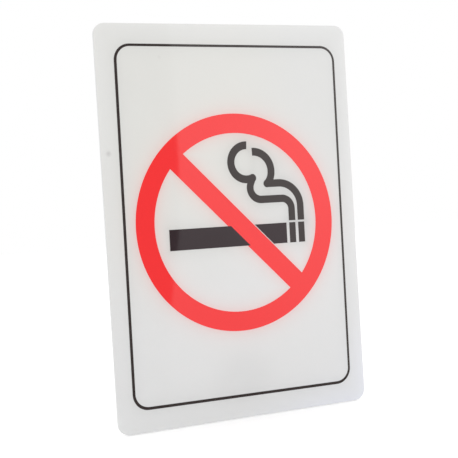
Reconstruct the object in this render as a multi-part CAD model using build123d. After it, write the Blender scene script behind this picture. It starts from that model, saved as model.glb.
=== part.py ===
from build123d import *
import math
import os

# A no smoking sign: one flat plastic plate with a rounded outline, printed on its face in red and black.
# Sizes are in mm. +Z is up, the printed face looks along -Y, and the flat back lies on Y = 0.
# The origin is the middle of the back face, where the sign is fixed to a wall or a door.
# Each field of colour is a solid of its own, as thin as ink, that lies face to face on the plate.

# Plate
plate_width = 177.8
plate_height = 254.0
plate_thickness = 2.0
plate_corner_radius = 7.3
plate_edge_radius = 0.3

# Print as a whole: how far it landed from the plate's middle, and how far it is turned clockwise
film_thickness = 0.05
print_shift_right = 0.84
print_shift_up = 0.09
print_turn = 0.47

# Black border line, its margins measured from the plate's edges to the line's outer edge.
# Its opening landed a little to the right and high, so the line is heavier at the left and below.
border_side_margin = 10.45
border_end_margin = 13.25
border_line_width = 1.7
border_corner_radius = 10.45
border_hole_right = 0.14
border_hole_up = 0.14

# Red ring and its slash, which falls from the upper left to the lower right
ring_border_clearance = 6.53
ring_band_width = 12.52
ring_drop = 0.69
slash_width = 13.05
slash_angle = 45.0
slash_shift = 0.06

# Black print beside the slash: it laps over the lower edge and leaves a bare hairline at the upper one
black_lap = 1.45
black_hairline = 0.52

# Picture of the cigarette and its smoke. Its places are measured from the ring's centre.
# The whole picture is fitted into the ring's hole, which leaves this much of the hole bare round it.
picture_clearance = 4.72

# Cigarette
cigarette_length = 83.6
cigarette_height = 13.33
cigarette_drop = 8.8
cigarette_tip = 35.55
ember_width = 4.62
ember_gap = 2.06

# Smoke
smoke_gap = 1.33
smoke_width = 4.87
loop_width = 5.08
loop_opening = 3.8

# Inner smoke stroke, from the ember up: leg, bend, run, hook, nose and open loop
inner_bend_radius = 6.85
inner_run_height = 13.95
inner_hook_x = 18.05
inner_hook_radius = 7.8
inner_hook_turn = 115.0
inner_nose_radius = 2.65
inner_loop_x = 8.36
inner_loop_z = 38.45
inner_loop_radius = 11.05
inner_loop_end = -69.0

# Outer smoke stroke, from the ember up: leg, bend, run, elbow and open loop, placed from the inner loop
outer_bend_radius = 15.4
outer_elbow_in = 2.7
outer_elbow_drop = 3.75
outer_loop_right = 4.92
outer_loop_drop = 6.1
outer_loop_radius = 12.85
outer_loop_start = 92.0
outer_loop_end = -20.0

# Worked out from the sizes above
border_width = plate_width - 2 * border_side_margin
border_height = plate_height - 2 * border_end_margin
border_hole_width = border_width - 2 * border_line_width
border_hole_height = border_height - 2 * border_line_width
ring_outer_radius = min(border_hole_width, border_hole_height) / 2 - ring_border_clearance
ring_hole_radius = ring_outer_radius - ring_band_width
cigarette_top = cigarette_height / 2 - cigarette_drop
cigarette_bottom = cigarette_top - cigarette_height
smoke_foot = cigarette_top + smoke_gap
inner_leg_x = cigarette_tip + ember_gap + ember_width / 2
outer_leg_x = inner_leg_x + ember_width + ember_gap
outer_loop_x = inner_loop_x + outer_loop_right
outer_loop_z = inner_loop_z - outer_loop_drop


def bar(left, right, bottom, top):
    """An upright rectangle between two sides, a bottom and a top."""
    return Pos((left + right) / 2, (bottom + top) / 2) * Rectangle(right - left, top - bottom)


def stem(leg_x, run_height, bend_radius, run_left):
    """Centre line of a smoke stroke's lower half: a leg, a quarter bend and a level run to the left."""
    leg = Line((leg_x, smoke_foot), (leg_x, run_height - bend_radius))
    bend = CenterArc((leg_x - bend_radius, run_height - bend_radius), bend_radius, 0, 90)
    run = Line((leg_x - bend_radius, run_height), (run_left, run_height))
    return leg, bend, run


def inner_smoke():
    """The inner stroke: its hook climbs to a round nose, where the open loop starts."""
    outer_end_x = outer_loop_x + outer_loop_radius * math.cos(math.radians(outer_loop_start))
    loop_start = math.degrees(math.acos((outer_end_x - loop_opening - inner_loop_x) / inner_loop_radius))
    loop_size = 360 + inner_loop_end - loop_start
    loop = CenterArc((inner_loop_x, inner_loop_z), inner_loop_radius, loop_start, loop_size)
    nose = loop @ 1
    leg, bend, run = stem(inner_leg_x, inner_run_height, inner_bend_radius, inner_hook_x)
    hook_centre = (inner_hook_x, inner_run_height + inner_hook_radius)
    hook = CenterArc(hook_centre, inner_hook_radius, 270, -inner_hook_turn)
    neck = Line(hook @ 1, nose)
    stroke = trace([leg, bend, run, hook, neck], line_width=smoke_width)
    return stroke + trace([loop], line_width=loop_width) + Pos(nose) * Circle(inner_nose_radius)


def outer_smoke():
    """The outer stroke: its run turns back at a round elbow into the open loop."""
    loop_size = outer_loop_end - outer_loop_start
    loop = CenterArc((outer_loop_x, outer_loop_z), outer_loop_radius, outer_loop_start, loop_size)
    elbow = (loop @ 1) + Vector(-outer_elbow_in, -outer_elbow_drop)
    heel = TangentArc(loop @ 1, elbow, tangent=loop % 1)
    leg, bend, run = stem(outer_leg_x, elbow.Y, outer_bend_radius, elbow.X)
    stroke = trace([leg, bend, run], line_width=smoke_width)
    return stroke + trace([loop, heel], line_width=loop_width) + Pos(elbow) * Circle(loop_width / 2)


def ember(leg_x):
    """One bar of the cigarette's burning end, under the leg of its smoke."""
    return bar(leg_x - ember_width / 2, leg_x + ember_width / 2, cigarette_bottom, cigarette_top)


def picture_reach():
    """How far the picture's corners and loops lie from the ring's centre, before it is fitted."""
    ember_corner = math.hypot(outer_leg_x + ember_width / 2, cigarette_bottom)
    cigarette_corner = math.hypot(cigarette_tip - cigarette_length, cigarette_bottom)
    inner_loop = math.hypot(inner_loop_x, inner_loop_z) + inner_loop_radius + loop_width / 2
    outer_loop = math.hypot(outer_loop_x, outer_loop_z) + outer_loop_radius + loop_width / 2
    return max(ember_corner, cigarette_corner, inner_loop, outer_loop)


def fitted(sketch):
    """The picture's fields, enlarged or reduced as one to fill the ring's hole less its clearance."""
    return scale(sketch, by=(ring_hole_radius - picture_clearance) / picture_reach(), about=(0, 0, 0))


def cigarette():
    """The cigarette's two ends, left and right of the band that the slash keeps clear."""
    band_low = slash_shift - slash_width / 2 + black_lap
    band_high = slash_shift + slash_width / 2 + black_hairline
    band = Rot(0, 0, -slash_angle) * bar(-ring_outer_radius, ring_outer_radius, band_low, band_high)
    body = bar(cigarette_tip - cigarette_length, cigarette_tip, cigarette_bottom, cigarette_top)
    return (fitted(body) - band).faces().sort_by(Axis.X)


def ring_and_slash(black):
    """The red ring with its slash, cut back where the black is printed over it."""
    ring = Circle(ring_outer_radius) - Circle(ring_hole_radius)
    mid_radius = (ring_outer_radius + ring_hole_radius) / 2
    half_length = math.sqrt(mid_radius**2 - (abs(slash_shift) + slash_width / 2) ** 2)
    slash = bar(-half_length, half_length, slash_shift - slash_width / 2, slash_shift + slash_width / 2)
    return ring + Rot(0, 0, -slash_angle) * slash - black


def border():
    """The black line round the sign."""
    outline = RectangleRounded(border_width, border_height, border_corner_radius)
    hole_radius = border_corner_radius - border_line_width
    hole = RectangleRounded(border_hole_width, border_hole_height, hole_radius)
    return outline - Pos(border_hole_right, border_hole_up) * hole


def plate():
    """The plate, with a rounded outline and edges that are broken all round."""
    outline = Plane.XZ * RectangleRounded(plate_width, plate_height, plate_corner_radius)
    blank = extrude(outline, plate_thickness, dir=(0, -1, 0))
    rims = blank.faces().filter_by(Axis.Y).edges()
    return fillet(rims, plate_edge_radius)


def printed(sketch, drop=0.0):
    """A field of colour as a thin solid on the plate's face, drop mm under the print's middle."""
    face = Plane.XZ * Pos(print_shift_right, print_shift_up, plate_thickness) * Rot(0, 0, -print_turn)
    return extrude(face * Pos(0, -drop) * sketch, film_thickness, dir=(0, -1, 0))


def main():
    cigarette_left, cigarette_right = cigarette()
    parts = {
        "plate": plate(),
        "border_line": printed(border()),
        "prohibition_ring": printed(ring_and_slash(cigarette_left), ring_drop),
        "cigarette_left": printed(cigarette_left, ring_drop),
        "cigarette_right": printed(cigarette_right, ring_drop),
        "ember_inner": printed(fitted(ember(inner_leg_x)), ring_drop),
        "ember_outer": printed(fitted(ember(outer_leg_x)), ring_drop),
        "smoke_inner": printed(fitted(inner_smoke()), ring_drop),
        "smoke_outer": printed(fitted(outer_smoke()), ring_drop),
    }
    os.makedirs("parts", exist_ok=True)
    for node, shape in parts.items():
        shape.label = node
        export_step(shape, os.path.join("parts", node + ".step"))


main()
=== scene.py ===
import math

import bpy
from bpy.props import FloatProperty, FloatVectorProperty, PointerProperty
from mathutils import Matrix, Vector


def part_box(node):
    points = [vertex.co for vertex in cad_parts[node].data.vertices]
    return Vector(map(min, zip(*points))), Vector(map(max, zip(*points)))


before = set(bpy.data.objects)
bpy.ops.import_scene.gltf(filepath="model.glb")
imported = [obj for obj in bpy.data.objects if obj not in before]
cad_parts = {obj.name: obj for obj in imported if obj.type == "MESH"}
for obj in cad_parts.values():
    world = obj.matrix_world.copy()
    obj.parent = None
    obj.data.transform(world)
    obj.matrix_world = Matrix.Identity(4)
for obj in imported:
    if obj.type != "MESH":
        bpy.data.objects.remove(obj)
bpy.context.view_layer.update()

bl_info = {
    "name": "No smoking sign",
    "version": (1, 0, 0),
    "blender": (4, 5, 0),
    "location": "3D View > Sidebar > Sign",
    "description": "Finishes a packed no smoking sign and sets it on a pale studio stage",
    "category": "Object",
}

MM = 0.001
WHITE = (1.0, 1.0, 1.0)

# The plate's outline and face
PLATE_LOW, PLATE_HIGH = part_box("plate")
PLATE_CORNER = 7.3 * MM

# The print's own frame: its middle on the plate, and how far it is turned clockwise
BORDER_LOW, BORDER_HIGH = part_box("border_line")
PRINT_X = (BORDER_LOW.x + BORDER_HIGH.x) / 2
PRINT_Z = (BORDER_LOW.z + BORDER_HIGH.z) / 2
PRINT_TURN = math.radians(0.47)

# Fields of print, in the print's frame: half sizes, radii and places
BORDER_HALF_WIDTH = 78.45 * MM
BORDER_HALF_HEIGHT = 113.75 * MM
BORDER_LINE = 1.7 * MM
BORDER_CORNER = 10.45 * MM
RING_DROP = 0.69 * MM
RING_OUTER = 70.22 * MM
RING_HOLE = 57.7 * MM
SLASH_WIDTH = 13.05 * MM
# Cosine and sine of the slash's 45 degrees
DIAGONAL = math.sqrt(0.5)

# Black print: the broad cigarette, and the thin strokes, whose ink is a little paler
CIGARETTE_NODES = ("cigarette_left", "cigarette_right")
STROKE_NODES = ("border_line", "ember_inner", "ember_outer", "smoke_inner", "smoke_outer")

# The picture in the ring, beside whose ink painted shade darkens the plastic: the cigarette with
# its embers, and two strokes of smoke
CIGARETTE_MIDDLE = (0.46 * MM, -9.49 * MM)
CIGARETTE_HALF = (48.5 * MM, 6.66 * MM)
SMOKE_WIDTH = 5.0 * MM
SMOKE_FOOT = -1.5 * MM
# Each stroke has a stem: x of its leg, z of its level run, radius of its bend and x where the
# run starts. Then come its open arcs: centre, radius, the angle that the arc opens to, and how
# far its chord lies that way.
INNER_SMOKE = ((39.95 * MM, 13.3 * MM, 6.85 * MM, 18.1 * MM), (
    ((18.1 * MM, 21.1 * MM), 7.8 * MM, math.radians(32.5), -4.2 * MM),
    ((8.4 * MM, 37.8 * MM), 11.1 * MM, math.radians(8.7), 2.3 * MM),
))
OUTER_SMOKE = ((46.6 * MM, 23.5 * MM, 15.4 * MM, 22.7 * MM), (
    ((13.3 * MM, 31.7 * MM), 12.9 * MM, math.radians(205.0), -5.0 * MM),
))

# Painted light and shade that the ink sheds on the plastic, and the share of the red's that each
# black has
PAINTED_RED_LIGHT = (1.0, 0.12, 0.12, 1.0)
PAINTED_RED_WARMTH = (1.0, 0.765, 0.62, 1.0)
PAINTED_INK_SHADE = (0.03, 0.03, 0.03, 1.0)
LINE_SHARE = 0.31
CIGARETTE_SHARE = 0.55
SMOKE_SHARE = 0.56

# Where the plastic has aged: more as it rises, a little sooner at the left, less near the rims.
# Its tint goes from aged to faded between two x.
AGED_LEAN = -0.3
AGED_RISE = (-60 * MM, 50 * MM)
AGED_INWARD = (4 * MM, 22 * MM)
AGED_RIM_SHARE = 0.6
FADED_ACROSS = (0 * MM, 60 * MM)

# Painted light at the rims: where the colour is made paler as if light entered them, toward the
# upper right and along the lower edge, and painted cool light toward the lower right
LIT_LEAN = 0.8
LIT_RISE = (-160 * MM, 60 * MM)
LIT_LOW_EDGE = (-104 * MM, -122 * MM)
COOL_LEAN = 0.7
COOL_DROP = (110 * MM, 190 * MM)

# Wide, faint painted shade, as (middle, reach, strength): one low in the middle of the plate, and
# one among the strokes of the smoke. Each is whole out to the core's share of its reach.
PAINTED_SHADES = (
    ((-3.0 * MM, -102.0 * MM), (30.0 * MM, 27.0 * MM), 0.034),
    ((22.0 * MM, 24.0 * MM), (30.0 * MM, 26.0 * MM), 0.034),
)
SHADE_CORE = 0.2
SHADE_COLOUR = (0.0, 0.0, 0.0, 1.0)

# Small soft grey spots, as (middle, radius, strength)
STAINS = (
    ((-84.0 * MM, 46.9 * MM), 2.6 * MM, 0.30),
    ((-46.7 * MM, 106.0 * MM), 1.8 * MM, 0.08),
)

# How squarely the surface faces forward or back where the masks of the cut sides and of the
# back start, and where they are whole
SIDE_FACING = (0.9, 0.4)
BACK_FACING = (0.5, 0.9)

# The plastic: its clouds and dust, the saw marks on its cut sides, and its duller back
PLASTIC_IOR = 1.49
PLASTIC_CLOUDS = 0.02
PLASTIC_DUST = 0.2
SAW_PITCH = 0.7 * MM
SAW_STRETCH = (1.0, 0.08, 1.0)
SAW_DEPTH = 0.004 * MM
BACK_DULLNESS = 0.6

# Dust on the ink
INK_DUST = 0.15
INK_DUST_COLOUR = (0.5, 0.48, 0.48, 1.0)

# Rubbed marks: turn and offset of each way, stretch, width and where they gather. Then how much
# they roughen the plastic and the ink, and how much they wear the plastic's clear gloss.
SCUFF_WAYS = ((0.5, (0.0, 0.0, 0.0)), (-1.1, (5.0, 0.0, 2.0)))
SCUFF_STRETCH = (0.12, 1.0, 3.0)
SCUFF_WIDTH = 0.02
SCUFF_PATCH = 30 * MM
SCUFF_GATHERING = (0.5, 0.68)
PLASTIC_SCUFFING = 0.12
INK_SCUFFING = 0.10
SCUFF_WEAR = 0.3

# The share of a speck of dust that is whole
SPECK_CORE = 0.4

# Where each noise is read, so that no two of them line up
PEEL_OFFSET = (3.1, 0.0, 1.7)
PATCH_OFFSET = (1.0, 4.0, 2.0)
CLOUD_OFFSET = (7.0, 1.0, 3.0)
GRAIN_OFFSET = (2.0, 6.0, 9.0)

# Sockets of a node that mixes colours, which have the same names as its sockets for numbers
MIX_SHARE, MIX_FIRST, MIX_SECOND = 0, 6, 7
MIX_RESULT = 2

# The photograph's frame and the camera that fits it
PHOTO_SIDE = 458
FOCAL_PIXELS = 1104.73
SENSOR_WIDTH = 36.0
CAMERA_PLACE = (-0.30973, -0.64442, 0.01478)
CAMERA_UP = (0.06729, -0.00192, 0.99773)
CAMERA_BACK = (-0.42757, -0.90357, 0.02709)
CAMERA_CLIP = (0.01, 100.0)

# The white card that the gloss mirrors: its upright plane, and its left edge from the bottom up,
# as (x, z)
CARD_Y = -0.64
CARD_LEFT_EDGE = (
    (0.200, -0.300), (0.200, -0.168), (0.2105, -0.112), (0.2145, -0.088), (0.2262, -0.028),
    (0.2302, 0.030), (0.2322, 0.070), (0.2318, 0.095), (0.2300, 0.170), (0.2300, 0.300),
)
CARD_RIGHT = 0.620
# How the card's light changes: with height, across, in its fade at the bottom, and in one dull
# patch, whose middle is (x, z) and whose core is the share of its reach that is darkest
CARD_FADE = (-0.20, 0.16)
CARD_LEVELS = (0.80, 1.38)
CARD_SIDE_FADE = (0.26, 0.44)
CARD_SIDE_LEVEL = 1.27
CARD_LOW_FADE = (-0.26, -0.20)
CARD_PATCH = (0.312, -0.215)
CARD_PATCH_REACH = (0.06, 0.06)
CARD_PATCH_CORE = 0.2
CARD_PATCH_DEPTH = 0.95

# Floor and lamps: half side, corners, places, aims and sizes
FLOOR_HALF = 3.0
FLOOR_CORNERS = ((-1, -1), (1, -1), (1, 1), (-1, 1))
KEY_PLACE = (-0.3, -0.9, 1.3)
KEY_AIM = (0.0, 0.0, 0.0)
KEY_SIZE = (1.0, 0.7)
SIDE_PLACE = (0.62, -0.42, 0.02)
SIDE_AIM = (0.08, 0.0, -0.12)
SIDE_SIZE = (0.25, 0.20)

# Where the gloss sees the dim room in front of the sign turn into the white backdrop behind it,
# by the y of the direction
ROOM_FADE = (-0.1, 0.25)


def colour_property(name, description, default):
    """A colour that the user can change."""
    return FloatVectorProperty(
        name=name, description=description, default=default,
        subtype="COLOR", size=3, min=0.0, max=1.0,
    )


def share_property(name, description, default):
    """A share from none to all."""
    return FloatProperty(
        name=name, description=description, default=default,
        subtype="FACTOR", min=0.0, max=1.0,
    )


def length_property(name, description, default):
    """A length in metres."""
    return FloatProperty(
        name=name, description=description, default=default,
        subtype="DISTANCE", unit="LENGTH", min=0.0, precision=6,
    )


def strength_property(name, description, default):
    """A brightness, where 1 is white."""
    return FloatProperty(name=name, description=description, default=default, min=0.0)


class SIGN_PG_plate(bpy.types.PropertyGroup):
    """Finish of the milky plastic plate."""

    colour: colour_property(
        "Plastic", "Colour of the milky plastic", (0.775, 0.7775, 0.774))
    aged_colour: colour_property(
        "Aged tint", "Tint that the upper left has taken on", (0.976, 0.970, 0.933))
    faded_colour: colour_property(
        "Faded tint", "Tint that the upper right has taken on", (0.962, 0.959, 0.945))
    # Painted light: how much paler the colour is painted where light would enter at the edges
    painted_rim_light: share_property(
        "Rim glow", "How much paler the plastic is where light enters at its edges", 0.045)
    painted_rim_reach: length_property(
        "Rim reach", "How far in the edges' glow goes", 4.5 * MM)
    # Painted light and shade: red light beside the ring and slash, and shade beside the black ink,
    # painted into the plastic's colour
    painted_scatter: share_property(
        "Ink bleed", "How much the ink's colour spreads through the plastic beside it", 0.205)
    painted_scatter_reach: length_property(
        "Bleed reach", "How far the ink's colour spreads", 3.6 * MM)
    # Painted light: the red's warm light painted into the plastic further out
    painted_warmth: share_property(
        "Blush", "How much the red warms the plastic further out", 0.07)
    painted_warmth_reach: length_property(
        "Blush reach", "How far the red's warmth goes", 9.0 * MM)
    # Painted light: cool light painted into the colour near the lower right edges
    painted_cool_light: share_property(
        "Cool glow", "How much cool light the lower right edges let in", 0.6)
    painted_cool_colour: colour_property(
        "Cool glow colour", "Colour of the light in the lower right edges", (0.86, 0.88, 0.97))
    painted_cool_reach: length_property(
        "Cool glow reach", "How far in that light goes", 14.0 * MM)
    # The back shows this share of what the face adds: painted light and shade beside the ink,
    # painted shade and spots
    ghost: share_property(
        "Ghost", "How much of the print's tinge shows through at the back", 0.35)
    roughness: share_property(
        "Roughness", "Roughness of the moulded surface", 0.34)
    body_gloss: share_property(
        "Body gloss", "Specular level of the plastic under its clear gloss", 0.2)
    gloss: share_property(
        "Gloss film", "Weight of the clear gloss on the surface", 0.4)
    gloss_roughness: share_property(
        "Gloss roughness", "Roughness of the clear gloss", 0.05)
    sawn_roughness: share_property(
        "Sawn edge", "Roughness of the cut sides", 0.42)
    speck_colour: colour_property(
        "Speck", "Colour of the dirt specks", (0.30, 0.28, 0.29))


class SIGN_PG_red(bpy.types.PropertyGroup):
    """Finish of the red print."""

    colour: colour_property(
        "Red ink", "Colour of the ring and its slash", (0.942, 0.040, 0.042))
    roughness: share_property("Roughness", "Roughness of the printed ink", 0.038)
    gloss: share_property("Gloss", "Specular level of the printed ink", 0.5)
    mottle: share_property("Mottle", "How unevenly the ink lies", 0.05)


class SIGN_PG_black(bpy.types.PropertyGroup):
    """Finish of the black print."""

    colour: colour_property(
        "Black ink", "Colour of the broad ink of the cigarette", (0.038, 0.0245, 0.028))
    stroke_colour: colour_property(
        "Stroke ink", "Colour of the border line, embers and smoke", (0.046, 0.0365, 0.035))
    roughness: share_property("Roughness", "Roughness of the printed ink", 0.038)
    gloss: share_property("Gloss", "Specular level of the printed ink", 0.35)
    mottle: share_property("Mottle", "How unevenly the ink lies", 0.12)


class SIGN_PG_stage(bpy.types.PropertyGroup):
    """Floor, light and camera."""

    floor_colour: colour_property(
        "Floor", "Colour of the pale floor", (0.95, 0.95, 0.95))
    floor_lift: strength_property(
        "Floor lift", "Light that the camera sees on the floor besides its own", 0.21)
    floor_gap: length_property(
        "Floor gap", "How far under the sign's lower edge the floor lies", 0.5 * MM)
    sky: strength_property(
        "Sky", "Plain light from all round", 0.97)
    room: strength_property(
        "Room", "What the gloss mirrors where no card stands", 0.10)
    key: strength_property(
        "Key lamp", "Brightness of the large lamp above", 0.75)
    side: strength_property(
        "Side lamp", "Brightness of the small cool lamp low at the right", 0.7)
    side_colour: colour_property(
        "Side lamp colour", "Colour of the lamp low at the right", (0.72, 0.75, 1.0))
    card: strength_property(
        "Card", "Brightness of the white card that the gloss mirrors", 1.0)


class Graph:
    """Short calls that place and link the nodes of one node tree."""

    def __init__(self, tree):
        self.tree = tree
        tree.nodes.clear()

    def add(self, kind, **settings):
        """A new node with these settings."""
        node = self.tree.nodes.new(kind)
        for name, value in settings.items():
            setattr(node, name, value)
        return node

    def feed(self, socket, value):
        """Links a socket to an input, or writes a plain value on it."""
        if isinstance(value, bpy.types.NodeSocket):
            self.tree.links.new(value, socket)
        else:
            socket.default_value = value

    def math(self, operation, *values):
        """One step of arithmetic."""
        node = self.add("ShaderNodeMath", operation=operation)
        for socket, value in zip(node.inputs, values):
            self.feed(socket, value)
        return node.outputs[0]

    def away(self, x, z, centre, reach=(None, None)):
        """How far a point lies from a centre, in metres or, with a reach, as a share of it."""
        squares = []
        for value, middle, size in zip((x, z), centre, reach):
            step = self.math("SUBTRACT", value, middle)
            if size is not None:
                step = self.math("DIVIDE", step, size)
            squares.append(self.math("POWER", step, 2.0))
        return self.math("SQRT", self.math("ADD", *squares))

    def parts(self, vector):
        """The X, Y and Z of a vector."""
        node = self.add("ShaderNodeSeparateXYZ")
        self.feed(node.inputs[0], vector)
        return node.outputs

    def mix(self, share, first, second, blend="MIX"):
        """Two colours mixed."""
        node = self.add("ShaderNodeMix", data_type="RGBA", blend_type=blend)
        self.feed(node.inputs[MIX_SHARE], share)
        self.feed(node.inputs[MIX_FIRST], first)
        self.feed(node.inputs[MIX_SECOND], second)
        return node.outputs[MIX_RESULT]

    def grey(self, value):
        """A value as a colour."""
        node = self.add("ShaderNodeCombineColor")
        for socket in node.inputs:
            self.feed(socket, value)
        return node.outputs[0]

    def ramp(self, value, low, high, start=0.0, end=1.0, shape="SMOOTHSTEP"):
        """A step from start to end while the value goes from low to high."""
        node = self.add("ShaderNodeMapRange", interpolation_type=shape)
        for socket, given in zip(node.inputs, (value, low, high, start, end)):
            self.feed(socket, given)
        return node.outputs[0]

    def noise(self, place, size, detail=2.0, stretch=(1.0, 1.0, 1.0), offset=(0.0, 0.0, 0.0)):
        """Smooth noise whose swells are about size metres across, from 0 to 1."""
        node = self.add("ShaderNodeTexNoise", noise_dimensions="3D")
        mapping = self.add("ShaderNodeMapping")
        self.feed(mapping.inputs["Vector"], place)
        mapping.inputs["Scale"].default_value = stretch
        mapping.inputs["Location"].default_value = offset
        self.feed(node.inputs["Vector"], mapping.outputs[0])
        given = isinstance(size, bpy.types.NodeSocket)
        scale = self.math("DIVIDE", 1.0, size) if given else 1.0 / size
        self.feed(node.inputs["Scale"], scale)
        node.inputs["Detail"].default_value = detail
        return node.outputs["Fac"]

    def group(self, tree, **values):
        """A shared effect, placed with its own values."""
        node = self.add("ShaderNodeGroup", node_tree=tree)
        for name, value in values.items():
            self.feed(node.inputs[name.replace("_", " ").capitalize()], value)
        return node.outputs


def effect(name, inputs, outputs):
    """A new shader node group, as (tree, graph, its inputs, its outputs).

    Each input is given as (name, default), where None stands for a vector.
    """
    tree = bpy.data.node_groups.new(name, "ShaderNodeTree")
    graph = Graph(tree)
    for label, default in inputs:
        kind = "NodeSocketVector" if default is None else "NodeSocketFloat"
        socket = tree.interface.new_socket(label, in_out="INPUT", socket_type=kind)
        if default is not None:
            socket.default_value = default
    for label in outputs:
        tree.interface.new_socket(label, in_out="OUTPUT", socket_type="NodeSocketFloat")
    return tree, graph, graph.add("NodeGroupInput").outputs, graph.add("NodeGroupOutput").inputs


def shared(name, build):
    """The effect of that name, built the first time it is asked for."""
    return bpy.data.node_groups.get(name) or build(name)


def build_ripple(name):
    """Slow swells and a finer orange peel in the glossy surface, as a height in metres."""
    tree, graph, given, made = effect(
        name,
        [
            ("Place", None), ("Swell", 45 * MM), ("Swell height", 0.006 * MM),
            ("Peel", 2.2 * MM), ("Peel height", 0.0001 * MM),
        ],
        ["Height"],
    )
    swell = graph.noise(given["Place"], given["Swell"], detail=1.0)
    peel = graph.noise(given["Place"], given["Peel"], detail=2.0, offset=PEEL_OFFSET)
    low = graph.math("MULTIPLY", swell, given["Swell height"])
    fine = graph.math("MULTIPLY", peel, given["Peel height"])
    graph.feed(made["Height"], graph.math("ADD", low, fine))
    return tree


def build_scuffs(name):
    """Hair-fine rubbed marks in two directions, as a mask."""
    tree, graph, given, made = effect(
        name, [("Place", None), ("Size", 4 * MM), ("Share", 0.25)], ["Mask"]
    )
    marks = []
    for turn, offset in SCUFF_WAYS:
        turned = graph.add("ShaderNodeVectorRotate", rotation_type="Y_AXIS")
        graph.feed(turned.inputs["Vector"], given["Place"])
        turned.inputs["Angle"].default_value = turn
        lines = graph.noise(
            turned.outputs[0], given["Size"], detail=1.0, stretch=SCUFF_STRETCH, offset=offset
        )
        from_middle = graph.math("ABSOLUTE", graph.math("SUBTRACT", lines, 0.5))
        ridge = graph.math("SUBTRACT", 1.0, from_middle)
        start = graph.math("SUBTRACT", 1.0, graph.math("MULTIPLY", given["Share"], SCUFF_WIDTH))
        marks.append(graph.ramp(ridge, start, 1.0))
    patches = graph.noise(given["Place"], SCUFF_PATCH, detail=1.0, offset=PATCH_OFFSET)
    where = graph.ramp(patches, *SCUFF_GATHERING)
    graph.feed(made["Mask"], graph.math("MULTIPLY", graph.math("MAXIMUM", *marks), where))
    return tree


def build_specks(name):
    """Sparse fine dust, as a mask."""
    tree, graph, given, made = effect(
        name, [("Place", None), ("Spacing", 12 * MM), ("Speck", 0.18 * MM)], ["Mask"]
    )
    cells = graph.add("ShaderNodeTexVoronoi", feature="F1", voronoi_dimensions="3D")
    graph.feed(cells.inputs["Vector"], given["Place"])
    graph.feed(cells.inputs["Scale"], graph.math("DIVIDE", 1.0, given["Spacing"]))
    far = graph.math("MULTIPLY", cells.outputs["Distance"], given["Spacing"])
    core = graph.math("MULTIPLY", given["Speck"], SPECK_CORE)
    graph.feed(made["Mask"], graph.ramp(far, given["Speck"], core))
    return tree


def build_mottle(name):
    """Uneven tone in two scales, as a factor round 1."""
    tree, graph, given, made = effect(
        name,
        [("Place", None), ("Cloud", 30 * MM), ("Grain", 1.1 * MM), ("Amount", 0.02)],
        ["Factor"],
    )
    cloud = graph.noise(given["Place"], given["Cloud"], detail=2.0, offset=CLOUD_OFFSET)
    grain = graph.noise(given["Place"], given["Grain"], detail=2.0, offset=GRAIN_OFFSET)
    both = graph.math("SUBTRACT", graph.math("ADD", cloud, grain), 1.0)
    graph.feed(made["Factor"], graph.math("MULTIPLY_ADD", both, given["Amount"], 1.0))
    return tree


def build_box_distance(name):
    """Distance to the outline of a rounded rectangle on the face, less than nothing inside it."""
    tree, graph, given, made = effect(
        name,
        [
            ("X", 0.0), ("Z", 0.0), ("Half width", 100 * MM), ("Half height", 100 * MM),
            ("Corner", 10 * MM),
        ],
        ["Distance"],
    )
    over = []
    for axis, half in (("X", "Half width"), ("Z", "Half height")):
        inner = graph.math("SUBTRACT", given[half], given["Corner"])
        over.append(graph.math("SUBTRACT", graph.math("ABSOLUTE", given[axis]), inner))
    squares = [graph.math("POWER", graph.math("MAXIMUM", side, 0.0), 2.0) for side in over]
    outside = graph.math("SQRT", graph.math("ADD", *squares))
    inside = graph.math("MINIMUM", graph.math("MAXIMUM", *over), 0.0)
    distance = graph.math("SUBTRACT", graph.math("ADD", outside, inside), given["Corner"])
    graph.feed(made["Distance"], distance)
    return tree


def build_fade(name):
    """How strongly something is felt: all of its amount at its edge, less with its distance."""
    tree, graph, given, made = effect(
        name, [("Distance", 0.0), ("Reach", 4 * MM), ("Amount", 0.1)], ["Mask"]
    )
    away = graph.math("DIVIDE", graph.math("MAXIMUM", given["Distance"], 0.0), given["Reach"])
    share = graph.math("EXPONENT", graph.math("MULTIPLY", away, -1.0))
    graph.feed(made["Mask"], graph.math("MULTIPLY", share, given["Amount"]))
    return tree


def build_surface(name):
    """Where the surface lies: masks for the cut sides and for the back."""
    tree, graph, given, made = effect(name, [("Normal", None)], ["Side", "Back"])
    backward = graph.parts(given["Normal"])["Y"]
    graph.feed(made["Side"], graph.ramp(graph.math("ABSOLUTE", backward), *SIDE_FACING))
    graph.feed(made["Back"], graph.ramp(backward, *BACK_FACING))
    return tree


def opaque(colour):
    """A colour with full alpha."""
    return (*colour, 1.0)


def blank_material(name):
    """A new material without nodes, as (material, graph)."""
    material = bpy.data.materials.new(name)
    material.use_nodes = True
    return material, Graph(material.node_tree)


def new_material(name):
    """A material with a Principled shader, as (material, graph, shader, point in the row frame)."""
    material, graph = blank_material(name)
    shader = graph.add("ShaderNodeBsdfPrincipled")
    output = graph.add("ShaderNodeOutputMaterial")
    graph.feed(output.inputs["Surface"], shader.outputs[0])
    return material, graph, shader, graph.add("ShaderNodeTexCoord").outputs["Object"]


def put_on(material, nodes):
    """Gives these CAD nodes the material."""
    for name in nodes:
        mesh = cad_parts[name].data
        mesh.materials.clear()
        mesh.materials.append(material)


def bump(graph, height):
    """The surface's normal with this height in metres on it."""
    node = graph.add("ShaderNodeBump")
    node.inputs["Strength"].default_value = 1.0
    node.inputs["Distance"].default_value = 1.0
    graph.feed(node.inputs["Height"], height)
    return node.outputs[0]


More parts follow.
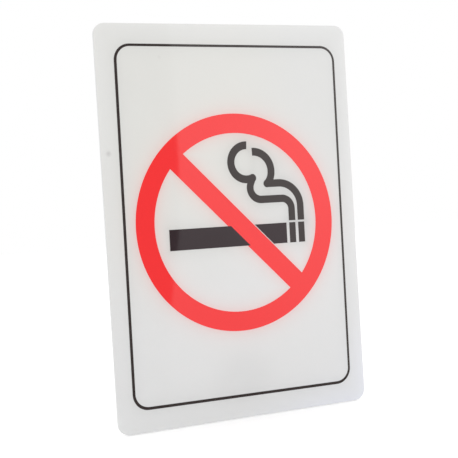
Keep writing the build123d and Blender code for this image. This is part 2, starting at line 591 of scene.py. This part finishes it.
def print_place(graph, x, z):
    """A point on the face in the print's own frame."""
    right = graph.math("SUBTRACT", x, PRINT_X)
    up = graph.math("SUBTRACT", z, PRINT_Z)
    cosine, sine = math.cos(PRINT_TURN), math.sin(PRINT_TURN)
    return (
        graph.math(
            "SUBTRACT", graph.math("MULTIPLY", right, cosine), graph.math("MULTIPLY", up, sine)
        ),
        graph.math(
            "ADD", graph.math("MULTIPLY", right, sine), graph.math("MULTIPLY", up, cosine)
        ),
    )


def box_distance(graph, x, z, half, corner=0.0):
    """Distance from a point on the face to a rounded rectangle round the middle."""
    tree = shared("box_distance", build_box_distance)
    width, height = half
    placed = graph.group(tree, x=x, z=z, half_width=width, half_height=height, corner=corner)
    return placed["Distance"]


def band_distance(graph, x, z, centre, radius, width):
    """Distance from a point on the face to a round band."""
    from_middle = graph.math("SUBTRACT", graph.away(x, z, centre), radius)
    return graph.math("SUBTRACT", graph.math("ABSOLUTE", from_middle), width / 2)


def red_distance(graph, x, z):
    """Distance from a point on the face to the ring or its slash."""
    radius, width = (RING_OUTER + RING_HOLE) / 2, RING_OUTER - RING_HOLE
    ring = band_distance(graph, x, z, (0.0, -RING_DROP), radius, width)
    up = graph.math("ADD", z, RING_DROP)
    along = graph.math("MULTIPLY", graph.math("SUBTRACT", x, up), DIAGONAL)
    across = graph.math("MULTIPLY", graph.math("ADD", x, up), DIAGONAL)
    slash = box_distance(graph, along, across, (RING_HOLE, SLASH_WIDTH / 2))
    return graph.math("MINIMUM", ring, slash)


def line_distance(graph, x, z):
    """Distance from a point on the face to the border line."""
    half = BORDER_HALF_WIDTH - BORDER_LINE / 2, BORDER_HALF_HEIGHT - BORDER_LINE / 2
    outline = box_distance(graph, x, z, half, BORDER_CORNER - BORDER_LINE / 2)
    return graph.math("SUBTRACT", graph.math("ABSOLUTE", outline), BORDER_LINE / 2)


def stem_distance(graph, x, z, stem):
    """Distance from a point on the face to the leg, bend and level run of a smoke stroke."""
    leg_x, run_z, bend, run_left = stem
    reach = leg_x - run_left + bend
    low_x = graph.math("SUBTRACT", x, leg_x - reach)
    low_z = graph.math("SUBTRACT", z, run_z - reach)
    outline = box_distance(graph, low_x, low_z, (reach, reach), bend)
    stroke = graph.math("SUBTRACT", graph.math("ABSOLUTE", outline), SMOKE_WIDTH / 2)
    past_run = graph.math("SUBTRACT", run_left, x)
    past_foot = graph.math("SUBTRACT", SMOKE_FOOT, z)
    return graph.math("MAXIMUM", stroke, graph.math("MAXIMUM", past_run, past_foot))


def arc_distance(graph, x, z, arc):
    """Distance from a point on the face to an open arc of a smoke stroke."""
    (centre_x, centre_z), radius, opening, chord = arc
    right, up = math.cos(opening), math.sin(opening)
    toward = graph.math("ADD", graph.math("MULTIPLY", x, right), graph.math("MULTIPLY", z, up))
    past_chord = graph.math("SUBTRACT", toward, centre_x * right + centre_z * up + chord)
    band = band_distance(graph, x, z, (centre_x, centre_z), radius, SMOKE_WIDTH)
    return graph.math("MAXIMUM", band, past_chord)


def smoke_distance(graph, x, z, stroke):
    """Distance from a point on the face to one stroke of smoke."""
    stem, arcs = stroke
    nearest = stem_distance(graph, x, z, stem)
    for arc in arcs:
        nearest = graph.math("MINIMUM", nearest, arc_distance(graph, x, z, arc))
    return nearest


def cigarette_distance(graph, x, z):
    """Distance from a point on the face to the cigarette with its embers."""
    middle_x, middle_z = CIGARETTE_MIDDLE
    right, up = graph.math("SUBTRACT", x, middle_x), graph.math("SUBTRACT", z, middle_z)
    return box_distance(graph, right, up, CIGARETTE_HALF)


def felt(graph, distance, reach, amount):
    """How strongly something is felt at a distance from it."""
    placed = graph.group(shared("fade", build_fade), distance=distance, reach=reach, amount=amount)
    return placed["Mask"]


def aged(graph, x, z, inward, finish):
    """The plain plastic with the tint that it has taken on above."""
    middle = graph.ramp(inward, *AGED_INWARD, AGED_RIM_SHARE, 1.0)
    upward = graph.math("MULTIPLY_ADD", x, AGED_LEAN, z)
    share = graph.math("MULTIPLY", graph.ramp(upward, *AGED_RISE), middle)
    left, right = (
        opaque(own * tint for own, tint in zip(finish.colour, tints))
        for tints in (finish.aged_colour, finish.faded_colour)
    )
    tinted = graph.mix(graph.ramp(x, *FADED_ACROSS), left, right)
    return graph.mix(share, opaque(finish.colour), tinted)


def with_painted_light(graph, colour, place, x, z, inward, finish):
    """The colour with faint clouds, painted paler at its rims as if lit, and painted cool toward
    the lower right.
    """
    # painted rim light: paler colour near the edges, toward the upper right and along the lower
    # edge
    rim = felt(graph, inward, finish.painted_rim_reach, finish.painted_rim_light)
    toward_light = graph.ramp(graph.math("MULTIPLY_ADD", x, LIT_LEAN, z), *LIT_RISE)
    lit_share = graph.math("MAXIMUM", toward_light, graph.ramp(z, *LIT_LOW_EDGE))
    glow = graph.math("MULTIPLY_ADD", rim, lit_share, 1.0)
    mottle = shared("tone_mottle", build_mottle)
    cloud = graph.group(mottle, place=place, amount=PLASTIC_CLOUDS)["Factor"]
    colour = graph.mix(1.0, colour, graph.grey(graph.math("MULTIPLY", glow, cloud)), "MULTIPLY")
    # painted cool light toward the lower right edges
    cool = felt(graph, inward, finish.painted_cool_reach, finish.painted_cool_light)
    downward = graph.math("SUBTRACT", graph.math("MULTIPLY", x, COOL_LEAN), z)
    share = graph.math("MULTIPLY", cool, graph.ramp(downward, *COOL_DROP))
    return graph.mix(share, colour, opaque(finish.painted_cool_colour))


def with_painted_ink_light(graph, colour, x, z, finish):
    """The colour with painted light and shade by the ink: the red's wide painted warmth, and
    painted scatter by each field.
    """
    red = red_distance(graph, x, z)
    # painted warm red light further out from the red
    painted_warmth = felt(graph, red, finish.painted_warmth_reach, finish.painted_warmth)
    colour = graph.mix(painted_warmth, colour, PAINTED_RED_WARMTH)
    # painted red light beside the red, and painted shade beside each black field
    for distance, share, tinge in (
        (red, 1.0, PAINTED_RED_LIGHT),
        (line_distance(graph, x, z), LINE_SHARE, PAINTED_INK_SHADE),
        (cigarette_distance(graph, x, z), CIGARETTE_SHARE, PAINTED_INK_SHADE),
        (smoke_distance(graph, x, z, INNER_SMOKE), SMOKE_SHARE, PAINTED_INK_SHADE),
        (smoke_distance(graph, x, z, OUTER_SMOKE), SMOKE_SHARE, PAINTED_INK_SHADE),
    ):
        mask = felt(graph, distance, finish.painted_scatter_reach, finish.painted_scatter * share)
        colour = graph.mix(mask, colour, tinge)
    return colour


def with_painted_shades(graph, colour, x, z):
    """The colour with its wide, faint painted shade."""
    for centre, reach, strength in PAINTED_SHADES:
        away = graph.away(x, z, centre, reach)
        colour = graph.mix(graph.ramp(away, 1.0, SHADE_CORE, 0.0, strength), colour, SHADE_COLOUR)
    return colour


def stained(graph, colour, x, z, finish):
    """The colour with the few soft grey spots that the plate has."""
    for centre, radius, strength in STAINS:
        share = graph.ramp(graph.away(x, z, centre), radius, 0.0, 0.0, strength)
        colour = graph.mix(share, colour, opaque(finish.speck_colour))
    return colour


def plate_colour(graph, place, where, finish):
    """The milky plastic, with its painted light and shade: its whole look on the face, less of the
    print's at the back.
    """
    parts = graph.parts(place)
    x, z = parts["X"], parts["Z"]
    outline = box_distance(graph, x, z, (PLATE_HIGH.x, PLATE_HIGH.z), PLATE_CORNER)
    inward = graph.math("MULTIPLY", outline, -1.0)
    painted_lit_plastic = with_painted_light(graph, aged(graph, x, z, inward, finish), place, x, z, inward, finish)
    face = with_painted_ink_light(graph, painted_lit_plastic, *print_place(graph, x, z), finish)
    face = stained(graph, with_painted_shades(graph, face, x, z), x, z, finish)
    # the back shows less of the face's painted light and shade beside the ink, painted shade and
    # spots
    colour = graph.mix(graph.math("MULTIPLY", where["Back"], 1.0 - finish.ghost), face, painted_lit_plastic)
    dust = graph.group(shared("dust_specks", build_specks), place=place)["Mask"]
    dusty = graph.math("MULTIPLY", dust, PLASTIC_DUST)
    colour = graph.mix(dusty, colour, opaque(finish.speck_colour))
    return graph.mix(where["Side"], colour, opaque(finish.colour))


class SIGN_OT_plate(bpy.types.Operator):
    """Give the plate its glossy milky plastic, with cut sides and a plainer back"""

    bl_idname = "sign.plate"
    bl_label = "Plate"

    def execute(self, context):
        finish = context.scene.sign_plate
        material, graph, shader, place = new_material("milky_plastic")
        normal = graph.add("ShaderNodeNewGeometry").outputs["True Normal"]
        where = graph.group(shared("surface_masks", build_surface), normal=normal)
        graph.feed(shader.inputs["Base Color"], plate_colour(graph, place, where, finish))
        scuffs = graph.group(shared("fine_scuffs", build_scuffs), place=place)["Mask"]
        face = graph.math("MULTIPLY_ADD", scuffs, PLASTIC_SCUFFING, finish.roughness)
        rough = graph.ramp(where["Side"], 0.0, 1.0, face, finish.sawn_roughness, shape="LINEAR")
        graph.feed(shader.inputs["Roughness"], rough)
        back = graph.math("MULTIPLY", where["Back"], BACK_DULLNESS)
        dulled = graph.math("MAXIMUM", where["Side"], back)
        worn = graph.math("MAXIMUM", dulled, graph.math("MULTIPLY", scuffs, SCUFF_WEAR))
        film = graph.math("MULTIPLY", graph.math("SUBTRACT", 1.0, worn), finish.gloss)
        graph.feed(shader.inputs["Coat Weight"], film)
        shader.inputs["Coat Roughness"].default_value = finish.gloss_roughness
        shader.inputs["IOR"].default_value = PLASTIC_IOR
        shader.inputs["Specular IOR Level"].default_value = finish.body_gloss
        ripple = graph.group(shared("gloss_ripple", build_ripple), place=place)["Height"]
        saw = graph.noise(place, SAW_PITCH, detail=1.0, stretch=SAW_STRETCH)
        marks = graph.math("MULTIPLY", graph.math("MULTIPLY", saw, where["Side"]), SAW_DEPTH)
        graph.feed(shader.inputs["Normal"], bump(graph, graph.math("ADD", ripple, marks)))
        put_on(material, ("plate",))
        return {"FINISHED"}


def finish_ink(name, finish, ink_colour, nodes):
    """A glossy ink, a little uneven, that follows the plate's ripple and has fine rubbed marks."""
    material, graph, shader, place = new_material(name)
    mottle = shared("tone_mottle", build_mottle)
    uneven = graph.group(mottle, place=place, amount=finish.mottle)["Factor"]
    colour = graph.mix(1.0, opaque(ink_colour), graph.grey(uneven), "MULTIPLY")
    dust = graph.group(shared("dust_specks", build_specks), place=place)["Mask"]
    colour = graph.mix(graph.math("MULTIPLY", dust, INK_DUST), colour, INK_DUST_COLOUR)
    graph.feed(shader.inputs["Base Color"], colour)
    scuffs = graph.group(shared("fine_scuffs", build_scuffs), place=place)["Mask"]
    rough = graph.math("MULTIPLY_ADD", scuffs, INK_SCUFFING, finish.roughness)
    graph.feed(shader.inputs["Roughness"], rough)
    shader.inputs["Specular IOR Level"].default_value = finish.gloss
    ripple = graph.group(shared("gloss_ripple", build_ripple), place=place)["Height"]
    graph.feed(shader.inputs["Normal"], bump(graph, ripple))
    put_on(material, nodes)


class SIGN_OT_red_print(bpy.types.Operator):
    """Give the ring and its slash their glossy red ink"""

    bl_idname = "sign.red_print"
    bl_label = "Red ring and slash"

    def execute(self, context):
        finish = context.scene.sign_red
        finish_ink("red_ink", finish, finish.colour, ("prohibition_ring",))
        return {"FINISHED"}


class SIGN_OT_black_print(bpy.types.Operator):
    """Give the border line, the cigarette and its smoke their glossy black ink"""

    bl_idname = "sign.black_print"
    bl_label = "Black line, cigarette and smoke"

    def execute(self, context):
        finish = context.scene.sign_black
        finish_ink("black_ink", finish, finish.colour, CIGARETTE_NODES)
        finish_ink("stroke_ink", finish, finish.stroke_colour, STROKE_NODES)
        return {"FINISHED"}


def new_object(name, data):
    """A new object in the scene."""
    made = bpy.data.objects.new(name, data)
    bpy.context.scene.collection.objects.link(made)
    return made


def new_sheet(name, corners):
    """A flat stage mesh of one face."""
    mesh = bpy.data.meshes.new(name)
    mesh.from_pydata(corners, [], [tuple(range(len(corners)))])
    return new_object(name, mesh)


def aim(thing, place, target):
    """Puts a thing in its place and turns it to look at a target."""
    thing.location = place
    thing.rotation_mode = "QUATERNION"
    thing.rotation_quaternion = (Vector(target) - Vector(place)).to_track_quat("-Z", "Y")


def place_floor(stage):
    """A pale floor that keeps the sign's shadow, and lifts to white where the camera sees it."""
    level = PLATE_LOW.z - stage.floor_gap
    corners = [(x * FLOOR_HALF, y * FLOOR_HALF, level) for x, y in FLOOR_CORNERS]
    floor = new_sheet("floor", corners)
    material, graph = blank_material("pale_floor")
    matt = graph.add("ShaderNodeBsdfDiffuse")
    matt.inputs["Color"].default_value = opaque(stage.floor_colour)
    lift = graph.add("ShaderNodeEmission")
    seen = graph.add("ShaderNodeLightPath").outputs["Is Camera Ray"]
    graph.feed(lift.inputs["Strength"], graph.math("MULTIPLY", seen, stage.floor_lift))
    both = graph.add("ShaderNodeAddShader")
    graph.feed(both.inputs[0], matt.outputs[0])
    graph.feed(both.inputs[1], lift.outputs[0])
    graph.feed(graph.add("ShaderNodeOutputMaterial").inputs["Surface"], both.outputs[0])
    floor.data.materials.append(material)
    floor.visible_glossy = False


def place_card(stage):
    """The white card beside the camera, which only the gloss mirrors."""
    (_, bottom), (_, top) = CARD_LEFT_EDGE[0], CARD_LEFT_EDGE[-1]
    outline = (*CARD_LEFT_EDGE, (CARD_RIGHT, top), (CARD_RIGHT, bottom))
    card = new_sheet("white_card", [(x, CARD_Y, z) for x, z in outline])
    material, graph = blank_material("lit_card")
    light = graph.add("ShaderNodeEmission")
    parts = graph.parts(graph.add("ShaderNodeTexCoord").outputs["Object"])
    x, z = parts["X"], parts["Z"]
    height = graph.ramp(z, *CARD_FADE, *CARD_LEVELS)
    low = graph.ramp(z, *CARD_LOW_FADE)
    across = graph.ramp(x, *CARD_SIDE_FADE, 1.0, CARD_SIDE_LEVEL)
    away = graph.away(x, z, CARD_PATCH, CARD_PATCH_REACH)
    patch = graph.ramp(away, CARD_PATCH_CORE, 1.0, 1.0 - CARD_PATCH_DEPTH, 1.0)
    upright = graph.math("MULTIPLY", height, low)
    level = graph.math("MULTIPLY", upright, graph.math("MULTIPLY", across, patch))
    graph.feed(light.inputs["Strength"], graph.math("MULTIPLY", level, stage.card))
    graph.feed(graph.add("ShaderNodeOutputMaterial").inputs["Surface"], light.outputs[0])
    card.data.materials.append(material)
    card.visible_camera = card.visible_diffuse = card.visible_shadow = False


def place_lamps(stage):
    """A large soft lamp above and in front, and a small cool one low at the right."""
    for name, level, colour, place, target, size in (
        ("key_lamp", stage.key, WHITE, KEY_PLACE, KEY_AIM, KEY_SIZE),
        ("side_lamp", stage.side, stage.side_colour, SIDE_PLACE, SIDE_AIM, SIDE_SIZE),
    ):
        light = bpy.data.lights.new(name, "AREA")
        light.shape = "RECTANGLE"
        light.size, light.size_y = size
        light.energy = level * math.pi * size[0] * size[1]
        light.color = colour
        lamp = new_object(name, light)
        lamp.visible_camera = False
        aim(lamp, place, target)


def light_world(stage):
    """Plain light from all round, white to the camera.

    The gloss mirrors a dim room in front of the sign and a white backdrop behind it.
    """
    world = bpy.data.worlds.new("studio")
    bpy.context.scene.world = world
    world.use_nodes = True
    graph = Graph(world.node_tree)
    background = graph.add("ShaderNodeBackground")
    background.inputs["Color"].default_value = opaque(WHITE)
    rays = graph.add("ShaderNodeLightPath").outputs
    direction = graph.parts(graph.add("ShaderNodeTexCoord").outputs["Generated"])
    mirrored = graph.ramp(direction["Y"], *ROOM_FADE, stage.room, 1.0)
    level = graph.math("MULTIPLY_ADD", rays["Is Camera Ray"], 1.0 - stage.sky, stage.sky)
    level = graph.math("MULTIPLY_ADD", rays["Is Transmission Ray"], 1.0 - stage.sky, level)
    less_sky = graph.math("SUBTRACT", mirrored, stage.sky)
    extra = graph.math("MULTIPLY", less_sky, rays["Is Glossy Ray"])
    graph.feed(background.inputs["Strength"], graph.math("ADD", level, extra))
    graph.feed(graph.add("ShaderNodeOutputWorld").inputs["Surface"], background.outputs[0])


def place_camera():
    """The camera that sees the sign as the photograph does."""
    data = bpy.data.cameras.new("camera")
    data.sensor_width = SENSOR_WIDTH
    data.lens = FOCAL_PIXELS * SENSOR_WIDTH / PHOTO_SIDE
    data.clip_start, data.clip_end = CAMERA_CLIP
    camera = new_object("camera", data)
    back = Vector(CAMERA_BACK).normalized()
    right = Vector(CAMERA_UP).cross(back).normalized()
    turn = Matrix((right, back.cross(right), back)).transposed()
    camera.matrix_world = Matrix.Translation(CAMERA_PLACE) @ turn.to_4x4()
    bpy.context.scene.camera = camera


class SIGN_OT_stage(bpy.types.Operator):
    """Set the sign on a pale floor under soft light, with the camera at the photograph's angle"""

    bl_idname = "sign.stage"
    bl_label = "Floor, light and camera"

    def execute(self, context):
        stage = context.scene.sign_stage
        place_floor(stage)
        place_card(stage)
        place_lamps(stage)
        light_world(stage)
        place_camera()
        context.scene.view_settings.view_transform = "Standard"
        return {"FINISHED"}


class SIGN_PT_panel(bpy.types.Panel):
    """The sign's finishes and stage"""

    bl_idname = "SIGN_PT_panel"
    bl_label = "No smoking sign"
    bl_space_type = "VIEW_3D"
    bl_region_type = "UI"
    bl_category = "Sign"

    def draw(self, context):
        for group, (kind, operator) in GROUPS.items():
            box = self.layout.box()
            settings = getattr(context.scene, group)
            for name in kind.__annotations__:
                box.prop(settings, name)
            box.operator(operator.bl_idname)


GROUPS = {
    "sign_plate": (SIGN_PG_plate, SIGN_OT_plate),
    "sign_red": (SIGN_PG_red, SIGN_OT_red_print),
    "sign_black": (SIGN_PG_black, SIGN_OT_black_print),
    "sign_stage": (SIGN_PG_stage, SIGN_OT_stage),
}


def register():
    """Registers every class, and gives the scene its groups of settings."""
    for group, (kind, operator) in GROUPS.items():
        bpy.utils.register_class(kind)
        bpy.utils.register_class(operator)
        setattr(bpy.types.Scene, group, PointerProperty(type=kind))
    bpy.utils.register_class(SIGN_PT_panel)


def unregister():
    """Takes the panel, the groups of settings and the classes away again."""
    bpy.utils.unregister_class(SIGN_PT_panel)
    for group, (kind, operator) in GROUPS.items():
        delattr(bpy.types.Scene, group)
        bpy.utils.unregister_class(operator)
        bpy.utils.unregister_class(kind)


def main():
    """Finishes the sign and its stage."""
    register()
    bpy.ops.sign.plate()
    bpy.ops.sign.red_print()
    bpy.ops.sign.black_print()
    bpy.ops.sign.stage()


if __name__ == "__main__":
    main()
